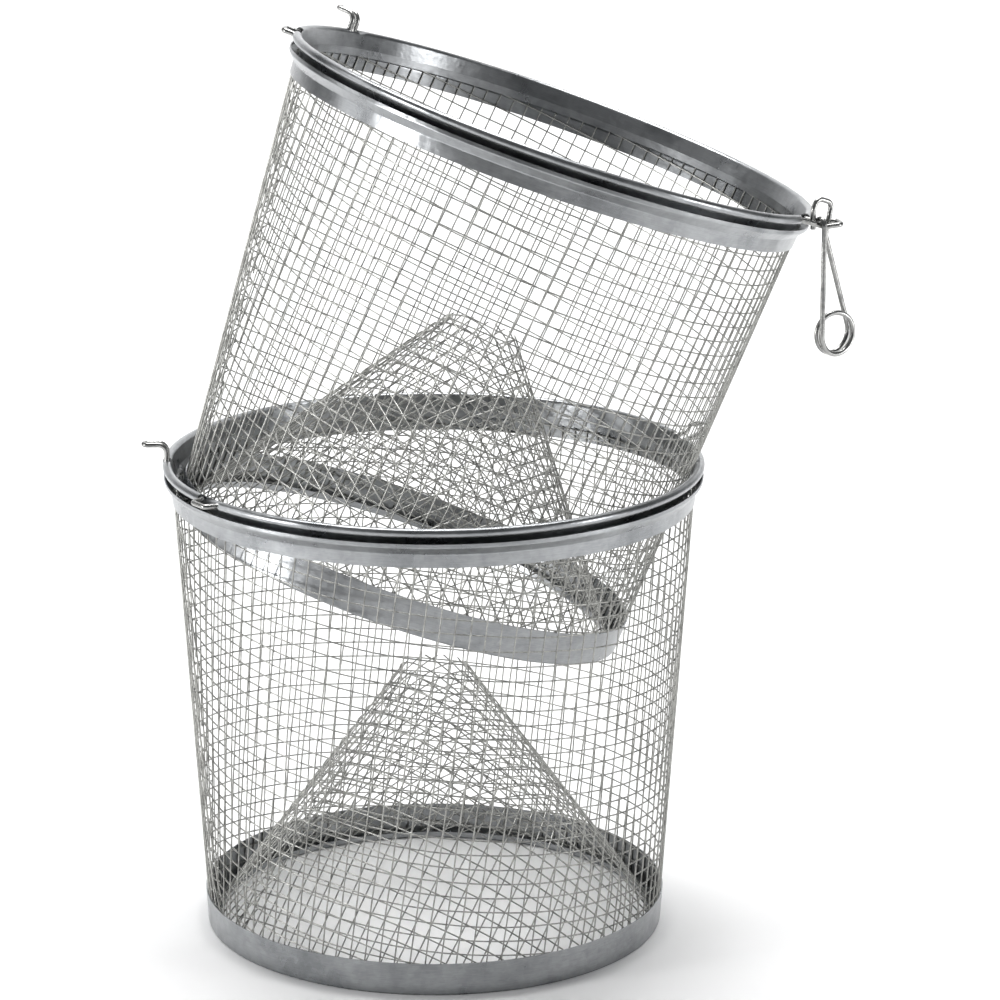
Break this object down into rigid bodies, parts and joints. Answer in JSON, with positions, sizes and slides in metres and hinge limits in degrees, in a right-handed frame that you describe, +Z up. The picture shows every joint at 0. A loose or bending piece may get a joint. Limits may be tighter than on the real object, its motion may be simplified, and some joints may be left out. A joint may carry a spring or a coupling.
{
  "type": "wire mesh minnow trap",
  "caption": "Two tapered wire-mesh basket halves with inward entrance funnels, joined at the mouth by hooks and a spring clip; one half stands, the other leans in it.",
  "frame": {"origin": "centre of the standing half's foot, on the floor", "axes": "+Z up along the standing half's axis; +X towards the side the other half leans to, as seen from the front; -Y is the front"},
  "size_m": [0.2973, 0.2349, 0.3851],
  "materials": {
    "mesh_wire": "satin hot-dip zinc over welded wire",
    "strip": "satin galvanized sheet strip",
    "rim_wire": "satin galvanized wire",
    "spring_wire": "satin galvanized spring wire"
  },
  "bodies": {
    "lower_half": {"lower_side_line_wires": "mesh_wire", "lower_side_hoop_wires": "mesh_wire", "lower_funnel_line_wires": "mesh_wire", "lower_funnel_hoop_wires": "mesh_wire", "lower_foot_band": "strip", "lower_inner_rim_band": "strip", "lower_outer_rim_band": "strip", "lower_rim_wire": "rim_wire"},
    "upper_half": {"upper_side_line_wires": "mesh_wire", "upper_side_hoop_wires": "mesh_wire", "upper_funnel_line_wires": "mesh_wire", "upper_funnel_hoop_wires": "mesh_wire", "upper_foot_band": "strip", "upper_inner_rim_band": "strip", "upper_outer_rim_band": "strip", "upper_rim_wire": "rim_wire"},
    "clip": {"clip": "spring_wire"}
  },
  "joints": [
    {"name": "lift_off", "type": "slide", "parent": "lower_half", "child": "upper_half", "axis": [0, 0, 1], "range_m": [0, 0.13]},
    {"name": "clip_swing", "type": "hinge", "parent": "upper_half", "child": "clip", "pos_m": [0.15809, -0.03303, 0.3104], "axis": [0.886, 0.3365, -0.3191], "range_deg": [-6, 20]}
  ]
}
